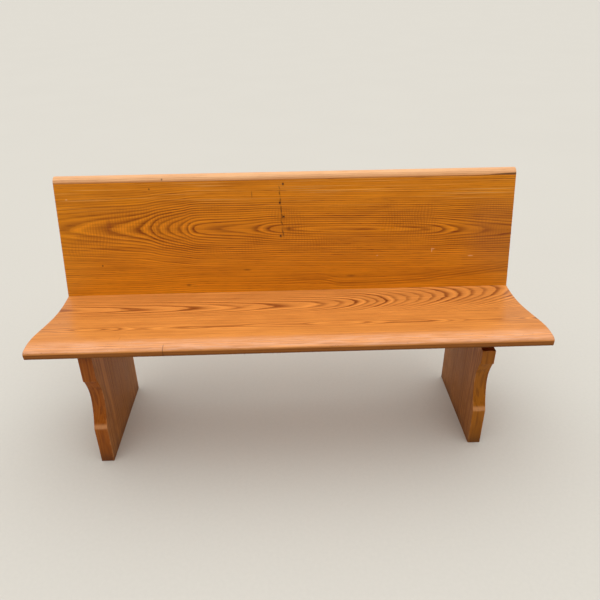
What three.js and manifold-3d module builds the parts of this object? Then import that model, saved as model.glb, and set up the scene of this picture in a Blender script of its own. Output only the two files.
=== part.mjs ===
// Church pew, shortened from a longer one: a hollowed plank seat and a leaning board back, carried on
// two slab supports that stand in from the plain cut ends.
//
// Millimetres. +X runs along the pew, +Y from the front to the back, +Z up. Left and right are those of
// a person who stands in front of the pew and faces it. Every piece is drawn with y = 0 at the seat's
// front edge; the last lines move the whole pew so that its origin is on the floor, at the middle of
// its box.

import * as THREE from "three";
import { mergeVertices } from "three/addons/utils/BufferGeometryUtils.js";
import Module from "manifold-3d";

const wasm = await Module();
wasm.setup();

// ---------------------------------------------------------------- driving dimensions

const length = 1524;
const gap = 0.3; // glue line, and the slack between pieces that touch on a sloping or curved face
const arcSteps = 8;

const seat = {
  depth: 402, // front edge to the face of the back
  noseTop: 448, // top of the upright part of the front edge
  noseBottom: 432,
  crown: { y: 47, z: 460 }, // highest line of the front roll
  crownReach: 57, // how far the top surface keeps level behind the crown
  hollow: { y: 337, z: 416 }, // lowest line of the sitting hollow
  hollowReach: 104,
  rear: { y: 402, z: 418.5 }, // where the top surface runs into the back
  thickness: 27, // measured upright
  frontJoint: 70, // glue line between the front and middle boards
  rearJoint: 212, // glue line between the middle and rear boards
};

const back = {
  foot: { y: seat.depth, z: 421.5 }, // point on the front face that the lean is measured about
  lean: THREE.MathUtils.degToRad(12.2),
  thickness: 22,
  slant: 401, // foot to the top of the cap, up the slope
  tail: 75, // foot to the lower edge, down the slope
  capHeight: 24,
  capRound: 20, // radius of the cap's front
};

const support = {
  thickness: 41,
  outerFace: 626, // distance of the outer face from the middle of the pew
  footHeight: 138, // upright front edge of the foot, up to the crease
  scoopDepth: 29,
  scoopMiddle: 240, // height of the deepest point of the scoop
  blockBottom: 321, // sharp lower corner of the top block
  blockStep: 4,
  boardWidth: 124, // of the front and middle boards; the rear board takes the rest
  hip: 200, // height where the upright rear edge starts to lean
  upright: { depth: 40, top: 340, corner: 18 }, // behind the back; top is measured up the slope
};

// The right support stands further back than the left, and the top of its front is cut back.
const supports = [
  { name: "left", side: -1, front: 37, rear: 421 },
  { name: "right", side: 1, front: 70, rear: 437, notch: { bottom: 371, depth: 20 } },
];

const spline = { thickness: 6, width: 18 };
const cleat = { width: 25, front: 110, rear: 350, height: 42 };
const glueBlock = { length: 90, leg: 36 };
const batten = { x: -18, width: 60, thickness: 19, bottom: -50, top: 372 };

const dowel = { radius: 5, length: 50 };
const screw = { radius: 2.2, headRadius: 4.5, headDepth: 3, length: 50, tip: 6 };
const nail = { radius: 1.3, headRadius: 2.5, headDepth: 1.2, length: 36, tip: 3 };
const fastenerSides = 12;
const slack = 0.4; // clearance around fasteners and dowels in their holes

// ---------------------------------------------------------------- materials

const varnishedBoard = finish("#c8813c", 0.35);
const varnishedBack = finish("#b9701f", 0.35);
const supportWood = finish("#7d4c20", 0.45);
const plainWood = finish("#b08a5c", 0.75);
const steel = finish("#7b7672", 0.5, 0.9);

function finish(color, roughness, metalness = 0) {
  return new THREE.MeshStandardMaterial({ color, roughness, metalness });
}

// ---------------------------------------------------------------- geometry helpers

// A closed solid, for cutting and joining, from a three.js geometry.
function toSolid(geometry) {
  const bare = geometry.clone();
  bare.deleteAttribute("normal");
  bare.deleteAttribute("uv");
  const merged = mergeVertices(bare);
  const corners = merged.index.array;
  const triVerts = [];
  for (let i = 0; i < corners.length; i += 3) {
    const [a, b, c] = corners.slice(i, i + 3);
    if (a !== b && b !== c && c !== a) triVerts.push(a, b, c);
  }
  return new wasm.Manifold(
    new wasm.Mesh({
      numProp: 3,
      vertProperties: merged.attributes.position.array,
      triVerts: new Uint32Array(triVerts),
    }),
  );
}

function toGeometry(solid) {
  const mesh = solid.getMesh();
  const geometry = new THREE.BufferGeometry();
  geometry.setAttribute("position", new THREE.BufferAttribute(mesh.vertProperties, 3));
  geometry.setIndex(new THREE.BufferAttribute(mesh.triVerts, 1));
  geometry.computeVertexNormals();
  return geometry;
}

// An outline drawn in (y, z) and carried along X from x0 to x1.
function alongX(outline, x0, x1) {
  const geometry = new THREE.ExtrudeGeometry(outline, {
    depth: x1 - x0,
    bevelEnabled: false,
    curveSegments: arcSteps,
  });
  const yAxis = new THREE.Vector3(0, 1, 0);
  const zAxis = new THREE.Vector3(0, 0, 1);
  const xAxis = new THREE.Vector3(1, 0, 0);
  geometry.applyMatrix4(new THREE.Matrix4().makeBasis(yAxis, zAxis, xAxis));
  geometry.translate(x0, 0, 0);
  return toSolid(geometry);
}

function box(x0, x1, y0, y1, z0, z1) {
  const geometry = new THREE.BoxGeometry(x1 - x0, y1 - y0, z1 - z0);
  geometry.translate((x0 + x1) / 2, (y0 + y1) / 2, (z0 + z1) / 2);
  return toSolid(geometry);
}

function polygon(points) {
  return new THREE.Shape(points.map(({ y, z }) => new THREE.Vector2(y, z)));
}

// The point that lies `t` behind the front face of the back and `s` up its slope from the foot.
function onBack(t, s) {
  return {
    y: back.foot.y + t * Math.cos(back.lean) + s * Math.sin(back.lean),
    z: back.foot.z - t * Math.sin(back.lean) + s * Math.cos(back.lean),
  };
}

// A straight-sided board of the back, between two depths and two distances up the slope.
function backBoard(x0, x1, t0, t1, s0, s1) {
  return alongX(polygon([onBack(t0, s0), onBack(t1, s0), onBack(t1, s1), onBack(t0, s1)]), x0, x1);
}

// Turns and moves a solid drawn about the Y axis so that it starts at `start` and runs along `way`.
function placement(start, way) {
  const turn = new THREE.Quaternion().setFromUnitVectors(new THREE.Vector3(0, 1, 0), way);
  return new THREE.Matrix4().compose(start, turn, new THREE.Vector3(1, 1, 1));
}

function rod(radius, start, way, rodLength) {
  const geometry = new THREE.CylinderGeometry(radius, radius, rodLength, fastenerSides);
  geometry.translate(0, rodLength / 2, 0);
  geometry.applyMatrix4(placement(start, way));
  return toSolid(geometry);
}

// ---------------------------------------------------------------- fasteners

// A pointed fastener with its tip at `start` and its head at the far end of `way`.
function fastenerSolid(kind, start, way, headSlope) {
  const shoulder = kind.length - kind.headDepth;
  const profile = [
    new THREE.Vector2(0, 0),
    new THREE.Vector2(kind.radius, kind.tip),
    new THREE.Vector2(kind.radius, shoulder),
    new THREE.Vector2(kind.headRadius, shoulder + headSlope),
    new THREE.Vector2(kind.headRadius, kind.length),
    new THREE.Vector2(0, kind.length),
  ];
  const geometry = new THREE.LatheGeometry(profile, fastenerSides);
  geometry.applyMatrix4(placement(start, way));
  return toSolid(geometry);
}

// The room that a fastener needs in the wood, open for `run` beyond its head.
function fastenerHole(kind, start, way, run = 0) {
  const shank = rod(kind.radius + slack, start.clone().addScaledVector(way, -slack), way, kind.length);
  const headStart = start.clone().addScaledVector(way, kind.length - kind.headDepth - slack);
  const head = rod(kind.headRadius + slack, headStart, way, kind.headDepth + slack + run);
  return shank.add(head);
}

function slottedScrew(start, way) {
  const slotDepth = 1.4;
  const slotWidth = 1.2;
  const geometry = new THREE.BoxGeometry(3 * screw.headRadius, 2 * slotDepth, slotWidth);
  geometry.translate(0, screw.length, 0);
  geometry.applyMatrix4(placement(start, way));
  return fastenerSolid(screw, start, way, screw.headDepth * 0.8).subtract(toSolid(geometry));
}

// ---------------------------------------------------------------- seat

// The main curve of the seat, from the crown down to the hollow.
const seatFall = new THREE.CubicBezierCurve(
  new THREE.Vector2(seat.crown.y, seat.crown.z),
  new THREE.Vector2(seat.crown.y + seat.crownReach, seat.crown.z),
  new THREE.Vector2(seat.hollow.y - seat.hollowReach, seat.hollow.z),
  new THREE.Vector2(seat.hollow.y, seat.hollow.z),
);
const hollowRun = 30; // how far the top surface keeps level behind the hollow

// Height of the underside between the crown and the hollow.
function undersideAt(y) {
  let [low, high] = [0, 1];
  while (high - low > 1e-6) {
    const middle = (low + high) / 2;
    if (seatFall.getPoint(middle).x < y) low = middle;
    else high = middle;
  }
  return seatFall.getPoint(low).y - seat.thickness;
}

// The lower surface of the seat, drawn from back to front and lowered by `drop`.
function drawUnderside(outline, drop) {
  const { hollow, thickness } = seat;
  const fall = thickness + drop;
  outline.quadraticCurveTo(hollow.y + hollowRun, hollow.z - fall, hollow.y, hollow.z - fall);
  outline.bezierCurveTo(
    seatFall.v2.x, seatFall.v2.y - fall,
    seatFall.v1.x, seatFall.v1.y - fall,
    seatFall.v0.x, seatFall.v0.y - fall,
  );
}

function seatOutline() {
  const { noseTop, noseBottom, crown, hollow, rear, thickness } = seat;
  const arris = 4;
  const outline = new THREE.Shape();
  outline.moveTo(0, noseTop);
  outline.bezierCurveTo(0, noseTop + 9, 12, crown.z, crown.y, crown.z);
  outline.bezierCurveTo(
    seatFall.v1.x, seatFall.v1.y,
    seatFall.v2.x, seatFall.v2.y,
    seatFall.v3.x, seatFall.v3.y,
  );
  outline.quadraticCurveTo(hollow.y + hollowRun, hollow.z, rear.y, rear.z);
  outline.lineTo(rear.y, rear.z - thickness);
  drawUnderside(outline, 0);
  outline.lineTo(arris, noseBottom);
  outline.quadraticCurveTo(0, noseBottom, 0, noseBottom + arris);
  return outline;
}

// Everything above the underside of the seat and in front of the back, with the gap below it.
function roomAboveUnderside() {
  const sky = 2 * seat.crown.z;
  const outline = new THREE.Shape();
  outline.moveTo(seat.rear.y, seat.rear.z - seat.thickness - gap);
  drawUnderside(outline, gap);
  outline.lineTo(-seat.crown.y, seat.crown.z - seat.thickness - gap);
  outline.lineTo(-seat.crown.y, sky);
  const top = (sky - back.foot.z) / Math.cos(back.lean);
  outline.lineTo(onBack(0, top).y, sky);
  outline.lineTo(back.foot.y, back.foot.z);
  return alongX(outline, -length, length);
}

// The slot that the back stands in.
function roomForBack() {
  return backBoard(-length, length, -gap, back.thickness + gap, -back.tail - gap, 2 * back.slant);
}

function splineBox(jointY, middleZ, margin) {
  const halfWidth = spline.width / 2 + margin;
  const halfThickness = spline.thickness / 2 + margin;
  return box(
    -length / 2, length / 2,
    jointY - halfWidth, jointY + halfWidth,
    middleZ - halfThickness, middleZ + halfThickness,
  );
}

const seatSplines = [
  { name: "seat_front_spline", y: seat.frontJoint, z: 445 },
  { name: "seat_rear_spline", y: seat.rearJoint, z: 417 },
];

// ---------------------------------------------------------------- supports

function supportOutline({ front, rear, notch }) {
  const { footHeight, scoopDepth, scoopMiddle, blockBottom, blockStep, hip } = support;
  const { depth, top, corner } = support.upright;
  const scoop = front + scoopDepth;
  const step = front + blockStep;
  const rearOfUpright = back.thickness + depth;
  const outline = new THREE.Shape();
  outline.moveTo(front, 0);
  outline.lineTo(front, footHeight);
  outline.bezierCurveTo(front + 11, footHeight + 21, scoop, scoopMiddle - 35, scoop, scoopMiddle);
  outline.bezierCurveTo(scoop, scoopMiddle + 30, step + 14, blockBottom - 25, step, blockBottom);
  outline.lineTo(front, blockBottom);
  const cutBack = notch ? notch.depth : 0;
  if (notch) {
    outline.lineTo(front, notch.bottom);
    outline.lineTo(front + cutBack, notch.bottom);
  }
  outline.lineTo(front + cutBack, seat.crown.z);
  const slotMiddle = onBack(back.thickness / 2, 0);
  outline.lineTo(slotMiddle.y, seat.crown.z);
  const topFront = onBack(back.thickness / 2, top);
  outline.lineTo(topFront.y, topFront.z);
  const cornerStart = onBack(rearOfUpright - corner, top);
  const cornerPoint = onBack(rearOfUpright, top);
  const cornerEnd = onBack(rearOfUpright, top - corner);
  outline.lineTo(cornerStart.y, cornerStart.z);
  outline.quadraticCurveTo(cornerPoint.y, cornerPoint.z, cornerEnd.y, cornerEnd.z);
  const waist = onBack(rearOfUpright, 0);
  const waistPull = onBack(rearOfUpright, -90);
  outline.lineTo(waist.y, waist.z);
  outline.bezierCurveTo(waistPull.y, waistPull.z, rear, hip + 70, rear, hip);
  outline.lineTo(rear, 0);
  return outline;
}

function supportSpan(side) {
  const outer = side * support.outerFace;
  const inner = side * (support.outerFace - support.thickness);
  return [Math.min(outer, inner), Math.max(outer, inner)];
}

// Places of the glue lines between a support's three boards, from the front.
function supportJoints(front) {
  return [front + support.boardWidth, front + 2 * support.boardWidth];
}

const dowelHeights = { low: 70, high: 240 };

function supportDowels({ side, front }) {
  const middleX = side * (support.outerFace - support.thickness / 2);
  const [frontJoint, rearJoint] = supportJoints(front);
  const joints = [
    { name: "front", y: frontJoint },
    { name: "rear", y: rearJoint },
  ];
  return joints.flatMap((joint) =>
    Object.entries(dowelHeights).map(([level, z]) => ({
      name: `${joint.name}_${level}`,
      start: new THREE.Vector3(middleX, joint.y - dowel.length / 2, z),
    })),
  );
}

// ---------------------------------------------------------------- where the screws and nails go

const forwards = new THREE.Vector3(0, -Math.cos(back.lean), Math.sin(back.lean)); // square to the back
const backwards = forwards.clone().negate();
const downwards = new THREE.Vector3(0, 0, -1);

function pointOnBack(x, t, s) {
  const { y, z } = onBack(t, s);
  return new THREE.Vector3(x, y, z);
}

// Through each upright into the rear of the back.
function uprightScrews(side) {
  const x = side * (support.outerFace - support.thickness / 2);
  const headLevel = back.thickness + support.upright.depth - 4;
  return [45, 175, 305].map((s) => pointOnBack(x, headLevel - screw.length, s));
}

// Through the lower part of the back into the rear edge of the seat.
function seatEdgeScrews() {
  const headLevel = back.thickness - 1;
  return [-690, -345, 60, 345, 690].map((x) => pointOnBack(x, headLevel - screw.length, -27));
}

// Up through each cleat into the seat, and sideways through it into the support.
function cleatScrews(side) {
  const inner = side * (support.outerFace - support.thickness);
  const middle = inner - side * cleat.width / 2;
  const seatBite = 15;
  const belowSeat = 22;
  const up = [165, 300].map((y) => ({
    start: new THREE.Vector3(middle, y, undersideAt(y) + seatBite),
    way: downwards,
  }));
  const across = [135, 265].map((y) => ({
    start: new THREE.Vector3(inner + side * (screw.length - cleat.width + 2), y, undersideAt(y) - belowSeat),
    way: new THREE.Vector3(-side, 0, 0),
  }));
  return [...up, ...across];
}

// From the face of the back into the batten behind it.
function battenNails() {
  return [189, 254, 301, 362].map((s, i) => {
    const stagger = i % 2 ? 6 : -6;
    return pointOnBack(batten.x + stagger, nail.length + 0.4, s);
  });
}

// ---------------------------------------------------------------- building the pieces

function drill(solid, holes) {
  return holes.reduce((left, hole) => left.subtract(hole), solid);
}

function addPiece(parent, name, solid, material) {
  const mesh = new THREE.Mesh(toGeometry(solid), material);
  mesh.name = name;
  parent.add(mesh);
}

function addSeat(parent) {
  const { frontJoint, rearJoint } = seat;
  const boards = [
    { name: "seat_front_board", from: -1, to: frontJoint },
    { name: "seat_middle_board", from: frontJoint, to: rearJoint },
    { name: "seat_rear_board", from: rearJoint, to: seat.depth + 1 },
  ];
  const blank = alongX(seatOutline(), -length / 2, length / 2).subtract(roomForBack());
  const holes = [
    ...seatSplines.map(({ y, z }) => splineBox(y, z, 0)),
    ...supports.flatMap(({ side }) => cleatScrews(side).map((s) => fastenerHole(screw, s.start, s.way))),
    ...seatEdgeScrews().map((start) => fastenerHole(screw, start, backwards)),
  ];
  for (const { name, from, to } of boards) {
    const board = blank.intersect(box(-length, length, from, to, 0, seat.noseTop * 2));
    addPiece(parent, name, drill(board, holes), varnishedBoard);
  }
  for (const { name, y, z } of seatSplines) {
    addPiece(parent, name, splineBox(y, z, 0), plainWood);
  }
}

// The cap is as thick as the back. Its front is worked to a quarter round, with a small arris behind.
function capOutline() {
  const arris = back.thickness - back.capRound;
  const base = back.slant - back.capHeight + gap;
  const points = [
    onBack(0, base),
    onBack(back.thickness, base),
    onBack(back.thickness, back.slant - arris),
  ];
  const rounds = [
    { radius: arris, from: 0 },
    { radius: back.capRound, from: Math.PI / 2 },
  ];
  for (const { radius, from } of rounds) {
    for (let i = 1; i <= arcSteps; i += 1) {
      const angle = from + (Math.PI / 2) * (i / arcSteps);
      const s = back.slant - radius + radius * Math.sin(angle);
      points.push(onBack(back.capRound + radius * Math.cos(angle), s));
    }
  }
  return polygon(points);
}

function addBack(parent) {
  const half = length / 2;
  const joint = back.slant - back.capHeight;
  const middle = back.thickness / 2;
  const tongue = [
    middle - spline.thickness / 2,
    middle + spline.thickness / 2,
    joint - spline.width / 2,
    joint + spline.width / 2,
  ];
  const [t0, t1, s0, s1] = tongue;
  const groove = backBoard(-half, half, t0 - gap, t1 + gap, s0 - gap, s1 + gap);
  const holes = [
    groove,
    ...supports.flatMap(({ side }) =>
      uprightScrews(side).map((start) => fastenerHole(screw, start, backwards)),
    ),
    ...seatEdgeScrews().map((start) => fastenerHole(screw, start, backwards, 10)),
    ...battenNails().map((start) => fastenerHole(nail, start, forwards, 10)),
  ];
  const panel = backBoard(-half, half, 0, back.thickness, -back.tail, joint);
  addPiece(parent, "back_panel", drill(panel, holes), varnishedBack);
  addPiece(parent, "back_cap_rail", alongX(capOutline(), -half, half).subtract(groove), varnishedBack);
  addPiece(parent, "back_cap_spline", backBoard(-half, half, t0, t1, s0, s1), plainWood);
}

function addBatten(parent) {
  const { x, width, thickness, bottom, top } = batten;
  const face = back.thickness + gap;
  const board = backBoard(x - width / 2, x + width / 2, face, face + thickness, bottom, top);
  const holes = battenNails().map((start) => fastenerHole(nail, start, forwards));
  addPiece(parent, "back_batten", drill(board, holes), plainWood);
  battenNails().forEach((start, i) => {
    addPiece(parent, `batten_nail_${i + 1}`, fastenerSolid(nail, start, forwards, 0), steel);
  });
}

function addSupport(parent, placed) {
  const { name, side, front } = placed;
  const [x0, x1] = supportSpan(side);
  const whole = alongX(supportOutline(placed), x0, x1);
  const blank = whole.subtract(roomAboveUnderside()).subtract(roomForBack());
  const dowels = supportDowels(placed);
  const way = new THREE.Vector3(0, 1, 0);
  const holes = [
    ...dowels.map(({ start }) =>
      rod(dowel.radius + slack, start.clone().addScaledVector(way, -slack), way, dowel.length + 2 * slack),
    ),
    ...cleatScrews(side).map((s) => fastenerHole(screw, s.start, s.way)),
    ...uprightScrews(side).map((start) => fastenerHole(screw, start, backwards, 10)),
  ];
  const [frontJoint, rearJoint] = supportJoints(front);
  const boards = [
    { name: "front", from: 0, to: frontJoint },
    { name: "middle", from: frontJoint, to: rearJoint },
    { name: "rear", from: rearJoint, to: 2 * seat.depth },
  ];
  for (const board of boards) {
    const solid = blank.intersect(box(x0 - 1, x1 + 1, board.from, board.to, -1, 2 * seat.noseTop));
    addPiece(parent, `${name}_support_${board.name}_board`, drill(solid, holes), supportWood);
  }
  for (const { name: place, start } of dowels) {
    addPiece(parent, `${name}_dowel_${place}`, rod(dowel.radius, start, way, dowel.length), plainWood);
  }
  uprightScrews(side).forEach((start, i) => {
    addPiece(parent, `${name}_back_screw_${i + 1}`, slottedScrew(start, backwards), steel);
  });
}

function addCleat(parent, { name, side }) {
  const inner = side * (support.outerFace - support.thickness);
  const face = inner - side * cleat.width;
  const [x0, x1] = [Math.min(inner, face), Math.max(inner, face)];
  const rearBottom = seat.hollow.z - seat.thickness - cleat.height;
  const frontBottom = rearBottom + 36;
  const outline = polygon([
    { y: cleat.front, z: frontBottom },
    { y: cleat.rear, z: rearBottom },
    { y: cleat.rear, z: seat.crown.z },
    { y: cleat.front, z: seat.crown.z },
  ]);
  const screws = cleatScrews(side);
  const blank = alongX(outline, x0, x1).subtract(roomAboveUnderside());
  const holes = screws.map((s) => fastenerHole(screw, s.start, s.way, 30));
  addPiece(parent, `${name}_seat_cleat`, drill(blank, holes), plainWood);
  screws.forEach((s, i) => {
    addPiece(parent, `${name}_cleat_screw_${i + 1}`, slottedScrew(s.start, s.way), steel);
  });
}

// Three-cornered blocks glued in the angle under the seat and in front of the back.
function addGlueBlocks(parent) {
  const { leg } = glueBlock;
  const cornerTop = seat.crown.z - seat.thickness;
  const outline = polygon([
    { y: seat.rear.y - leg, z: cornerTop },
    { y: seat.rear.y - leg, z: seat.hollow.z - seat.thickness - 8 },
    { y: seat.rear.y - 14, z: seat.hollow.z - seat.thickness - leg },
    { y: seat.rear.y, z: seat.hollow.z - seat.thickness - leg },
    { y: seat.rear.y, z: cornerTop },
  ]);
  [-480, -200, 200, 480].forEach((x, i) => {
    const blank = alongX(outline, x - glueBlock.length / 2, x + glueBlock.length / 2);
    const block = blank.subtract(roomAboveUnderside()).subtract(roomForBack());
    addPiece(parent, `corner_block_${i + 1}`, block, plainWood);
  });
}

function addSeatEdgeScrews(parent) {
  seatEdgeScrews().forEach((start, i) => {
    addPiece(parent, `seat_edge_screw_${i + 1}`, slottedScrew(start, backwards), steel);
  });
}

// ---------------------------------------------------------------- the pew

const pew = new THREE.Group();
addSeat(pew);
addBack(pew);
addBatten(pew);
for (const placed of supports) {
  addSupport(pew, placed);
  addCleat(pew, placed);
}
addGlueBlocks(pew);
addSeatEdgeScrews(pew);

const extent = new THREE.Box3().setFromObject(pew);
pew.position.y = -(extent.min.y + extent.max.y) / 2;

export default pew;
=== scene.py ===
"""Looks of a church pew that was shortened from a longer one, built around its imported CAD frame.

Metres, in the CAD frame: +X along the pew, +Y from front to back, +Z up, origin on the floor under the
middle. Every wooden piece but the dowels and tongues is lofted afresh from the end outline of its CAD
node, with curved runs made smooth, worn arrises, and the holes of its fasteners; glued edges stay sharp.
node group that cuts a board out of a log's growth rings, so faces, edges and end grain agree.
"""

import math

import bmesh
import bpy
from mathutils import Matrix, Vector


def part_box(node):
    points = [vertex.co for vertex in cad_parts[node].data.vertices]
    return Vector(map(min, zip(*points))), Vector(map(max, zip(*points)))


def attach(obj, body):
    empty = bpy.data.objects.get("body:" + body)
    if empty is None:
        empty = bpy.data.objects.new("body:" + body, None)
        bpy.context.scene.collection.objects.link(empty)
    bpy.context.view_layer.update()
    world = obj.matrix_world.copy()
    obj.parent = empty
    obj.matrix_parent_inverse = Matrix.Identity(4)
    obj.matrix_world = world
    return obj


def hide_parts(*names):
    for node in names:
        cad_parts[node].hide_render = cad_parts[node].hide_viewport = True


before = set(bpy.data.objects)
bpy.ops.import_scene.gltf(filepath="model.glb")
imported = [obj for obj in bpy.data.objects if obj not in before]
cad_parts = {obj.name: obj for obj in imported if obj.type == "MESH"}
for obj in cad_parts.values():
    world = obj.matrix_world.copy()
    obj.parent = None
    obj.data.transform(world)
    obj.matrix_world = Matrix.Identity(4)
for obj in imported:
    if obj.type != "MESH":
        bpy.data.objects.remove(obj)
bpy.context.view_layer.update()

MM = 0.001
X_AXIS = Vector((1, 0, 0))
Y_AXIS = Vector((0, 1, 0))
Z_AXIS = Vector((0, 0, 1))

ARC_STEPS = 4  # sides of each rounded arris
TOUCHING = 0.6 * MM  # a side closer than this to a neighbour's is glued or pressed to it

SEAT_BOARDS = ["seat_front_board", "seat_middle_board", "seat_rear_board"]
SEAT_SPLINES = ["seat_front_spline", "seat_rear_spline"]
BACK_BOARDS = ["back_panel", "back_cap_rail"]
SIDES = {"left": -1, "right": 1}


def support_boards(side):
    return [f"{side}_support_{part}_board" for part in ("front", "middle", "rear")]


# ---------------------------------------------------------------- outlines taken from the CAD nodes


def welded(node):
    """A node's mesh with its split corners joined again."""
    mesh = bmesh.new()
    mesh.from_mesh(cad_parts[node].data)
    bmesh.ops.remove_doubles(mesh, verts=mesh.verts, dist=0.001 * MM)
    return mesh


def area_of(points):
    """Signed area of a closed outline, positive when it runs anticlockwise seen from +X."""
    return sum(a.cross(b) for a, b in zip(points, points[1:] + points[:1])) / 2


def end_outline(node):
    """The outer outline of a node's end face at its lowest x, as (y, z) points, anticlockwise."""
    mesh = welded(node)
    end = min(v.co.x for v in mesh.verts)
    flat = {f for f in mesh.faces if all(v.co.x < end + 0.01 * MM for v in f.verts)}
    following = {}
    for edge in mesh.edges:
        sides = [f for f in edge.link_faces if f in flat]
        if len(sides) == 1:
            loop = next(l for l in sides[0].loops if l.edge == edge)
            following[loop.vert] = loop.link_loop_next.vert
    loops = []
    while following:
        start = next(iter(following))
        points = []
        here = start
        while here in following:
            points.append(Vector((here.co.y, here.co.z)))
            here = following.pop(here)
        loops.append(points)
    mesh.free()
    outline = max(loops, key=lambda points: abs(area_of(points)))
    return outline if area_of(outline) > 0 else outline[::-1]


def distance_to(point, outline):
    """Distance from a point to the nearest side of an outline."""
    best = math.inf
    for a, b in zip(outline, outline[1:] + outline[:1]):
        side = b - a
        share = max(0.0, min(1.0, (point - a).dot(side) / max(side.length_squared, 1e-18)))
        best = min(best, (point - a - side * share).length)
    return best


def turning(before, here, after):
    """How far an outline turns at a point, positive to the left."""
    first, second = here - before, after - here
    return math.atan2(first.cross(second), first.dot(second))


def curve_through(points, spacing):
    """A Catmull-Rom curve through the points, with its steps no longer than `spacing`."""
    ghosts = [2 * points[0] - points[1], *points, 2 * points[-1] - points[-2]]
    made = [points[0]]
    for p0, p1, p2, p3 in zip(ghosts, ghosts[1:], ghosts[2:], ghosts[3:]):
        t1 = max((p1 - p0).length, 1e-9) ** 0.5
        t2 = t1 + max((p2 - p1).length, 1e-9) ** 0.5
        t3 = t2 + max((p3 - p2).length, 1e-9) ** 0.5
        steps = max(1, math.ceil((p2 - p1).length / spacing))
        bend = abs(turning(p0, p1, p2)) + abs(turning(p1, p2, p3))
        steps = max(steps, math.ceil(bend / math.radians(8)))
        for k in range(1, steps + 1):
            t = t1 + (t2 - t1) * k / steps
            a1 = p0 * (t1 - t) / t1 + p1 * t / t1
            a2 = p1 * (t2 - t) / (t2 - t1) + p2 * (t - t1) / (t2 - t1)
            a3 = p2 * (t3 - t) / (t3 - t2) + p3 * (t - t2) / (t3 - t2)
            b1 = a1 * (t2 - t) / t2 + a2 * t / t2
            b2 = a2 * (t3 - t) / (t3 - t1) + a3 * (t - t1) / (t3 - t1)
            made.append(b1 * (t2 - t) / (t2 - t1) + b2 * (t - t1) / (t2 - t1))
    return made


def trimmed(points, cut):
    """The polyline without its first `cut` of length."""
    points = list(points)
    while len(points) > 2 and (points[1] - points[0]).length <= cut:
        cut -= (points[1] - points[0]).length
        points.pop(0)
    step = points[1] - points[0]
    points[0] = points[0] + step * min(0.9, cut / max(step.length, 1e-9))
    return points


def outline_runs(raw, tight, corner_angle):
    """Cuts an outline into runs of points, at its corners and where a neighbour begins or ends."""
    count = len(raw)
    bends = [turning(raw[i - 1], raw[i], raw[(i + 1) % count]) for i in range(count)]
    is_break = [abs(bends[i]) > corner_angle or tight[i] != tight[i - 1] for i in range(count)]
    first = is_break.index(True)
    runs = []
    for step in range(count):
        i = (first + step) % count
        if is_break[i]:
            runs.append({"points": [raw[i]], "tight": tight[i], "bend": bends[i]})
        runs[-1]["points"].append(raw[(i + 1) % count])
    return runs


def rounded_corner(before, after, arris):
    """Trims two runs back from the corner between them, if it is a free outer one, and gives its arc."""
    if before["tight"] or after["tight"] or after["bend"] < math.radians(30):
        return []
    corner = after["points"][0]
    reach = arris * math.tan(after["bend"] / 2)
    before["points"] = trimmed(before["points"][::-1], reach)[::-1]
    after["points"] = trimmed(after["points"], reach)
    start, end = before["points"][-1], after["points"][0]
    shares = [k / ARC_STEPS for k in range(ARC_STEPS)]
    return [start * (1 - t) ** 2 + corner * 2 * t * (1 - t) + end * t * t for t in shares]


def board_outline(node, neighbours, arris, corner_angle, spacing):
    """A node's outline, smooth along its curved runs and rounded at its free outer corners.

    Returns the points and, for each side between two points, whether a neighbour touches it.
    """
    raw = end_outline(node)
    others = [end_outline(n) for n in neighbours]
    middles = [(a + b) / 2 for a, b in zip(raw, raw[1:] + raw[:1])]
    tight = [any(distance_to(middle, other) < TOUCHING for other in others) for middle in middles]
    runs = outline_runs(raw, tight, corner_angle)
    for run in runs:
        run["points"] = curve_through(run["points"], spacing)
    arcs = [rounded_corner(before, after, arris) for before, after in zip(runs[-1:] + runs[:-1], runs)]
    points, flags = [], []
    for arc, run in zip(arcs, runs):
        points += arc + run["points"][:-1]
        flags += [False] * len(arc) + [run["tight"]] * (len(run["points"]) - 1)
    return points, flags


def inset(points, tight, distance):
    """The outline drawn in by `distance`, apart from the sides that a neighbour touches."""
    moved = []
    count = len(points)
    for i, here in enumerate(points):
        first = (here - points[i - 1]).normalized()
        second = (points[(i + 1) % count] - here).normalized()
        n1, n2 = Vector((-first.y, first.x)), Vector((-second.y, second.x))
        d1 = 0.0 if tight[i - 1] else distance
        d2 = 0.0 if tight[i] else distance
        across = n1.cross(n2)
        if abs(across) < 0.05:
            moved.append(here + (n1 * d1 + n2 * d2) / 2)
        else:
            moved.append(here + Vector((d1 * n2.y - d2 * n1.y, d2 * n1.x - d1 * n2.x)) / across)
    return moved


# ---------------------------------------------------------------- lofting a board


def stations(x0, x1, radii, spacing):
    """Where the loft has its rings along X, and how far each is drawn in, for rounded end arrises."""
    level_run = 5 * MM
    rings = []
    for end, way, radius in ((x0, 1, radii[0]), (x1, -1, radii[1])):
        side = []
        if radius:
            for k in range(ARC_STEPS + 1):
                angle = math.pi / 2 * k / ARC_STEPS
                side.append((end + way * radius * (1 - math.cos(angle)), radius * (1 - math.sin(angle))))
        else:
            side.append((end, 0.0))
        side.append((end + way * (radius + level_run), 0.0))
        rings.append(side)
    low, high = rings[0][-1][0], rings[1][-1][0]
    steps = max(1, round((high - low) / spacing))
    middle = [(low + (high - low) * k / steps, 0.0) for k in range(1, steps)]
    return rings[0] + middle + rings[1][::-1]


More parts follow.
